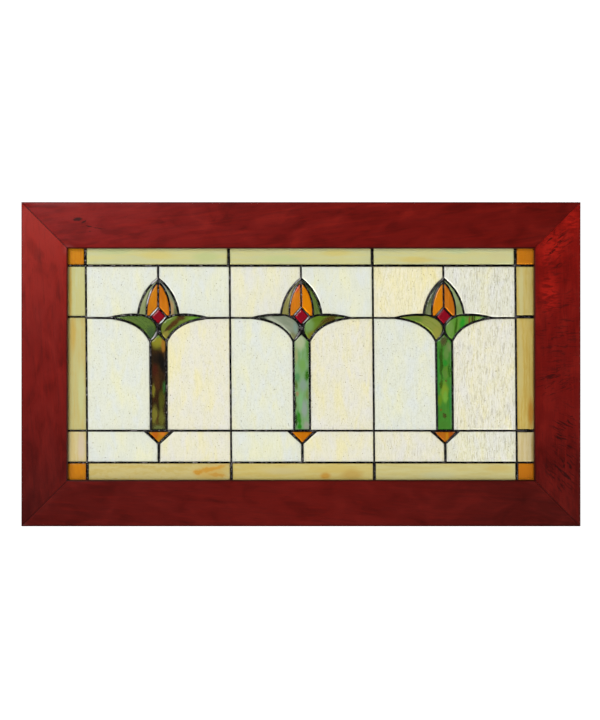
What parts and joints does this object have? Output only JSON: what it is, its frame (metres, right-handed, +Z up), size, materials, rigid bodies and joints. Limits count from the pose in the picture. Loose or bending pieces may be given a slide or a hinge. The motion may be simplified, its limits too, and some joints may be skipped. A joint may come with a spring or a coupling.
{
  "type": "stained glass window",
  "caption": "Framed stained glass window: a mitred wooden frame holds a soldered panel of opalescent glass with a border and stylised tulips.",
  "frame": {"origin": "middle of the frame's top edge, halfway through its depth: the edge that the window hangs from", "axes": "+Z up, +X to the right as seen from the front, -Y out of the front face"},
  "size_m": [0.876, 0.022, 0.508],
  "materials": {
    "wood": "red mahogany stain under a satin clear coat, close straight grain",
    "solder": "tin-lead solder over copper foil, black patina, rounded hand-run bead with worn bright glints",
    "cream_glass": "cream-white wispy opalescent sheet glass, lightly granite-textured",
    "lime_glass": "pale yellow-green streaky opalescent glass",
    "straw_glass": "straw-yellow streaky opalescent glass",
    "amber_glass": "deep amber opalescent glass",
    "orange_glass": "orange opalescent glass",
    "red_glass": "deep red glass",
    "green_glass": "green streaky opalescent glass, from sage to olive and brown"
  },
  "bodies": {
    "root": {"frame_top_rail": "wood", "frame_bottom_rail": "wood", "frame_left_stile": "wood", "frame_right_stile": "wood", "solder_seams": "solder", "border_corner_top_left": "amber_glass", "border_corner_top_right": "amber_glass", "border_corner_foot_left": "amber_glass", "border_corner_foot_right": "amber_glass", "border_top_1": "lime_glass", "border_top_2": "lime_glass", "border_top_3": "lime_glass", "border_foot_1": "straw_glass", "border_foot_2": "straw_glass", "border_foot_3": "straw_glass", "border_left_upper": "straw_glass", "border_left_middle": "straw_glass", "border_left_lower": "straw_glass", "border_right_upper": "straw_glass", "border_right_middle": "straw_glass", "border_right_lower": "straw_glass", "bay_1_upper_left": "cream_glass", "bay_1_upper_right": "cream_glass", "bay_1_middle_left": "cream_glass", "bay_1_middle_right": "cream_glass", "bay_1_lower_left": "cream_glass", "bay_1_lower_right": "cream_glass", "flower_1_outer_petal_left": "green_glass", "flower_1_outer_petal_right": "green_glass", "flower_1_inner_petal_left": "orange_glass", "flower_1_inner_petal_right": "orange_glass", "flower_1_leaf_left": "green_glass", "flower_1_leaf_right": "green_glass", "flower_1_stem": "green_glass", "bay_2_upper_left": "cream_glass", "bay_2_upper_right": "cream_glass", "bay_2_middle_left": "cream_glass", "bay_2_middle_right": "cream_glass", "bay_2_lower_left": "cream_glass", "bay_2_lower_right": "cream_glass", "flower_2_outer_petal_left": "green_glass", "flower_2_outer_petal_right": "green_glass", "flower_2_inner_petal_left": "orange_glass", "flower_2_inner_petal_right": "orange_glass", "flower_2_leaf_left": "green_glass", "flower_2_leaf_right": "green_glass", "flower_2_stem": "green_glass", "bay_3_upper_left": "cream_glass", "bay_3_upper_right": "cream_glass", "bay_3_middle_left": "cream_glass", "bay_3_middle_right": "cream_glass", "bay_3_lower_left": "cream_glass", "bay_3_lower_right": "cream_glass", "flower_3_outer_petal_left": "green_glass", "flower_3_outer_petal_right": "green_glass", "flower_3_inner_petal_left": "orange_glass", "flower_3_inner_petal_right": "orange_glass", "flower_3_leaf_left": "green_glass", "flower_3_leaf_right": "green_glass", "flower_3_stem": "green_glass"}
  },
  "joints": []
}
